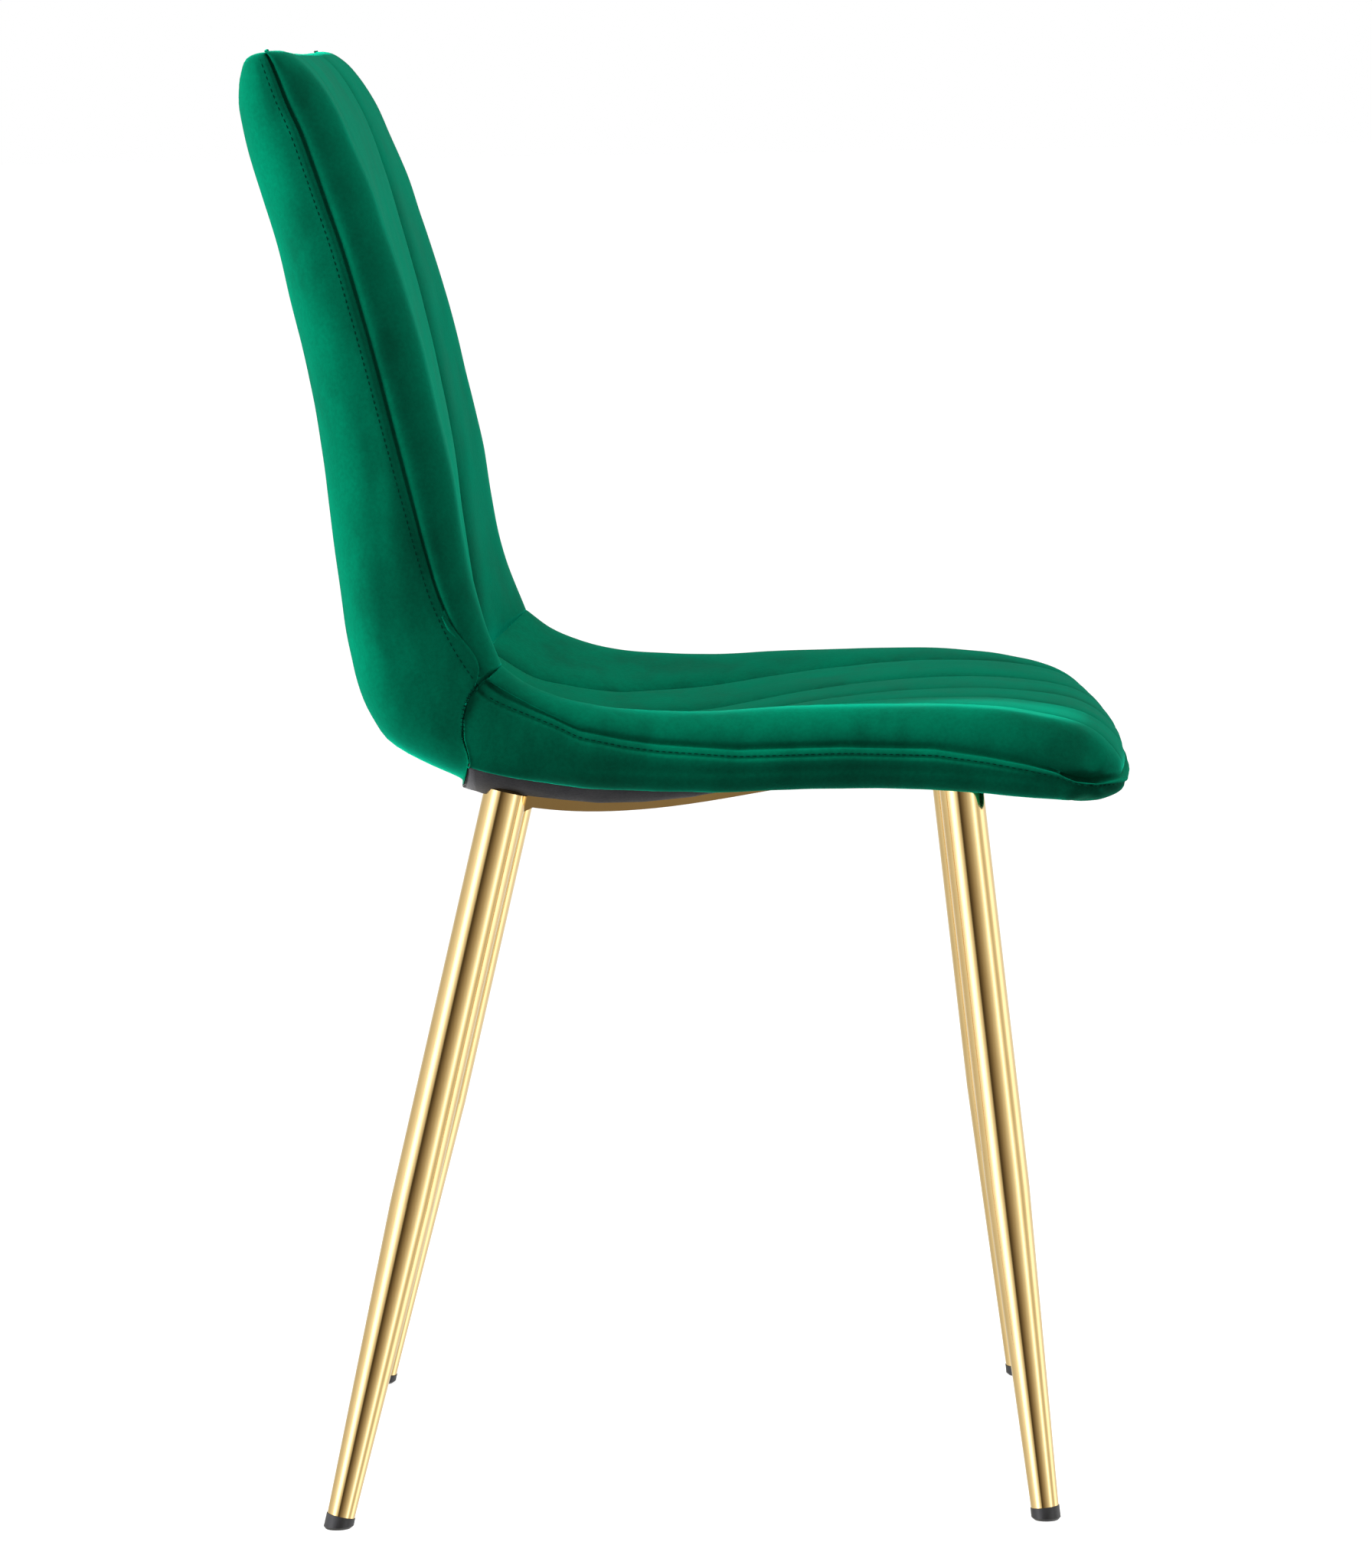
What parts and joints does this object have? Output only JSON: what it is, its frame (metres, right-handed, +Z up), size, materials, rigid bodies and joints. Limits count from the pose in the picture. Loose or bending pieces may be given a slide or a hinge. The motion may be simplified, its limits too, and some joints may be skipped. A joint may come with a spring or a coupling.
{
  "type": "dining chair",
  "caption": "Armless dining chair with a channel-stitched velvet shell seat on tapered gold metal legs.",
  "frame": {"origin": "on the floor under the middle of the whole chair", "axes": "+X the way the sitter faces, +Z up, the sitter's right side at -Y"},
  "size_m": [0.5437, 0.4616, 0.895],
  "materials": {
    "gold_steel": "polished gold plating on steel tube and bar",
    "black_plastic": "moulded, satin",
    "zinc_steel": "zinc plated",
    "plywood": "moulded plywood, unfinished",
    "foam": "polyurethane foam",
    "green_velvet": "short pile velvet",
    "black_cambric": "non-woven dust cover"
  },
  "bodies": {
    "root": {"leg_front_right": "gold_steel", "leg_cap_front_right": "gold_steel", "foot_plug_front_right": "black_plastic", "leg_front_left": "gold_steel", "leg_cap_front_left": "gold_steel", "foot_plug_front_left": "black_plastic", "leg_rear_right": "gold_steel", "leg_cap_rear_right": "gold_steel", "foot_plug_rear_right": "black_plastic", "leg_rear_left": "gold_steel", "leg_cap_rear_left": "gold_steel", "foot_plug_rear_left": "black_plastic", "side_rail_right": "gold_steel", "side_rail_left": "gold_steel", "cross_bar_rear": "gold_steel", "cross_bar_front": "gold_steel", "gussets": "gold_steel", "frame_bolts": "zinc_steel", "flat_washers": "zinc_steel", "spring_washers": "zinc_steel", "t_nuts": "zinc_steel", "staples": "zinc_steel", "plywood_shell": "plywood", "seat_foam": "foam", "back_foam": "foam", "rear_padding": "foam", "seat_cover_top": "green_velvet", "seat_cover_side": "green_velvet", "back_cover_front": "green_velvet", "back_cover_rear": "green_velvet", "dust_cover": "black_cambric"}
  },
  "joints": []
}
